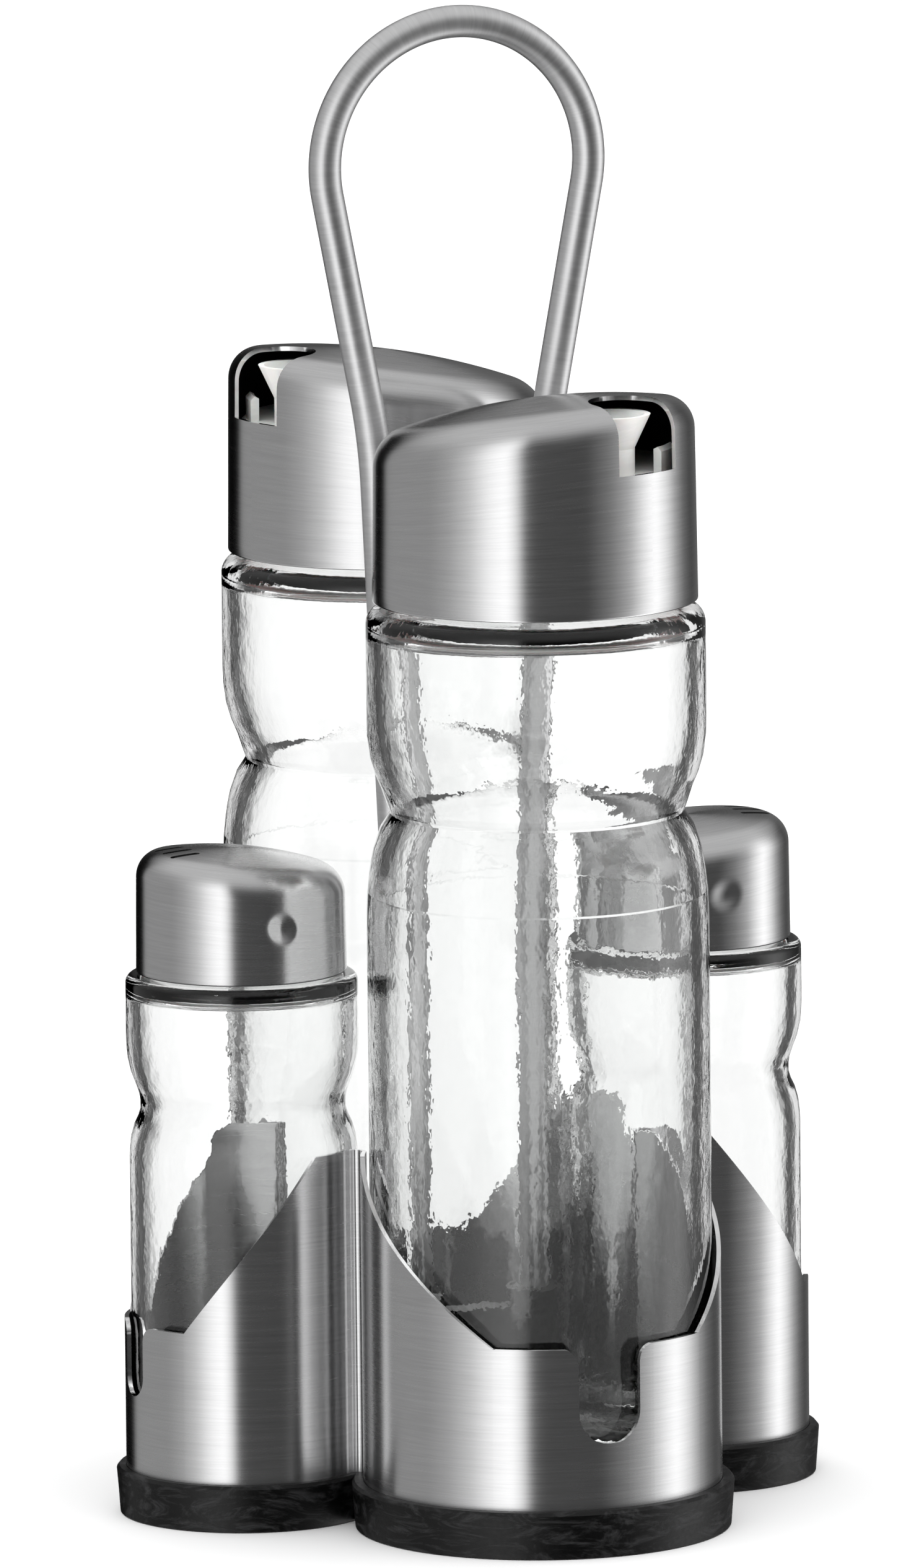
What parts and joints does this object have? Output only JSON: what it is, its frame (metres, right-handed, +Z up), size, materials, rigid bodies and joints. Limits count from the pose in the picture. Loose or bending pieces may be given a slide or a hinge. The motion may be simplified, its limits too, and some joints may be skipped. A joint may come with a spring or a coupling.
{
  "type": "cruet set",
  "caption": "Cloverleaf table stand with a tall rod loop; lift-out glass oil and vinegar cruets and salt and pepper shakers under slanted steel caps, turnable spouts.",
  "frame": {"origin": "middle of the base underside, on the table", "axes": "+Z up; +Y towards the vinegar cruet; +X towards the pepper shaker; the rod loop lies in the XZ plane"},
  "size_m": [0.1368, 0.1424, 0.277],
  "materials": {
    "black_plastic": "satin moulded, lightly scuffed",
    "brushed_steel": "brushed around the axis, polished edges",
    "satin_rod": "satin drawn rod",
    "screw_steel": "plain zinc plated",
    "clear_glass": "clear pressed glass with soft ripples",
    "white_plastic": "satin moulded",
    "silicone": "translucent milky"
  },
  "bodies": {
    "stand": {"base_tray": "black_plastic", "holder_wall": "brushed_steel", "handle_socket": "black_plastic", "handle_loop": "satin_rod", "handle_screws": "screw_steel", "handle_washers": "screw_steel"},
    "oil_cruet": {"oil_bottle": "clear_glass"},
    "oil_seal": {"oil_seal_ring": "silicone"},
    "oil_spout": {"oil_pourer": "white_plastic"},
    "oil_cap": {"oil_cap_shell": "brushed_steel"},
    "vinegar_cruet": {"vinegar_bottle": "clear_glass"},
    "vinegar_seal": {"vinegar_seal_ring": "silicone"},
    "vinegar_spout": {"vinegar_pourer": "white_plastic"},
    "vinegar_cap": {"vinegar_cap_shell": "brushed_steel"},
    "salt_shaker": {"salt_bottle": "clear_glass"},
    "salt_seal": {"salt_gasket": "silicone"},
    "salt_cap": {"salt_cap_liner": "white_plastic", "salt_cap_shell": "brushed_steel"},
    "pepper_shaker": {"pepper_bottle": "clear_glass"},
    "pepper_seal": {"pepper_gasket": "silicone"},
    "pepper_cap": {"pepper_cap_liner": "white_plastic", "pepper_cap_shell": "brushed_steel"}
  },
  "joints": [
    {"name": "oil_cruet_lift", "type": "slide", "parent": "stand", "child": "oil_cruet", "axis": [0, 0, 1], "range_m": [0, 0.08]},
    {"name": "oil_pourer_pull", "type": "slide", "parent": "oil_cruet", "child": "oil_seal", "axis": [0, 0, 1], "range_m": [0, 0.03]},
    {"name": "oil_spout_turn", "type": "hinge", "parent": "oil_seal", "child": "oil_spout", "pos_m": [0, -0.036, 0.18], "axis": [0, 0, 1], "continuous": true},
    {"name": "oil_cap_lift", "type": "slide", "parent": "oil_spout", "child": "oil_cap", "axis": [0, 0, 1], "range_m": [0, 0.045]},
    {"name": "vinegar_cruet_lift", "type": "slide", "parent": "stand", "child": "vinegar_cruet", "axis": [0, 0, 1], "range_m": [0, 0.08]},
    {"name": "vinegar_pourer_pull", "type": "slide", "parent": "vinegar_cruet", "child": "vinegar_seal", "axis": [0, 0, 1], "range_m": [0, 0.03]},
    {"name": "vinegar_spout_turn", "type": "hinge", "parent": "vinegar_seal", "child": "vinegar_spout", "pos_m": [0, 0.036, 0.18], "axis": [0, 0, 1], "continuous": true},
    {"name": "vinegar_cap_lift", "type": "slide", "parent": "vinegar_spout", "child": "vinegar_cap", "axis": [0, 0, 1], "range_m": [0, 0.045]},
    {"name": "salt_shaker_lift", "type": "slide", "parent": "stand", "child": "salt_shaker", "axis": [0, 0, 1], "range_m": [0, 0.08]},
    {"name": "salt_cap_rise", "type": "slide", "parent": "salt_shaker", "child": "salt_seal", "axis": [0, 0, 1], "range_m": [0, 0.006]},
    {"name": "salt_cap_unscrew", "type": "hinge", "parent": "salt_seal", "child": "salt_cap", "pos_m": [-0.0443, 0, 0.11], "axis": [0, 0, 1], "range_deg": [0, 540]},
    {"name": "pepper_shaker_lift", "type": "slide", "parent": "stand", "child": "pepper_shaker", "axis": [0, 0, 1], "range_m": [0, 0.08]},
    {"name": "pepper_cap_rise", "type": "slide", "parent": "pepper_shaker", "child": "pepper_seal", "axis": [0, 0, 1], "range_m": [0, 0.006]},
    {"name": "pepper_cap_unscrew", "type": "hinge", "parent": "pepper_seal", "child": "pepper_cap", "pos_m": [0.0443, 0, 0.11], "axis": [0, 0, 1], "range_deg": [0, 540]}
  ],
  "couplings": [
    {"joint": "salt_cap_rise", "follows": "salt_cap_unscrew", "m_per_rad": 0.00063662},
    {"joint": "pepper_cap_rise", "follows": "pepper_cap_unscrew", "m_per_rad": 0.00063662}
  ]
}
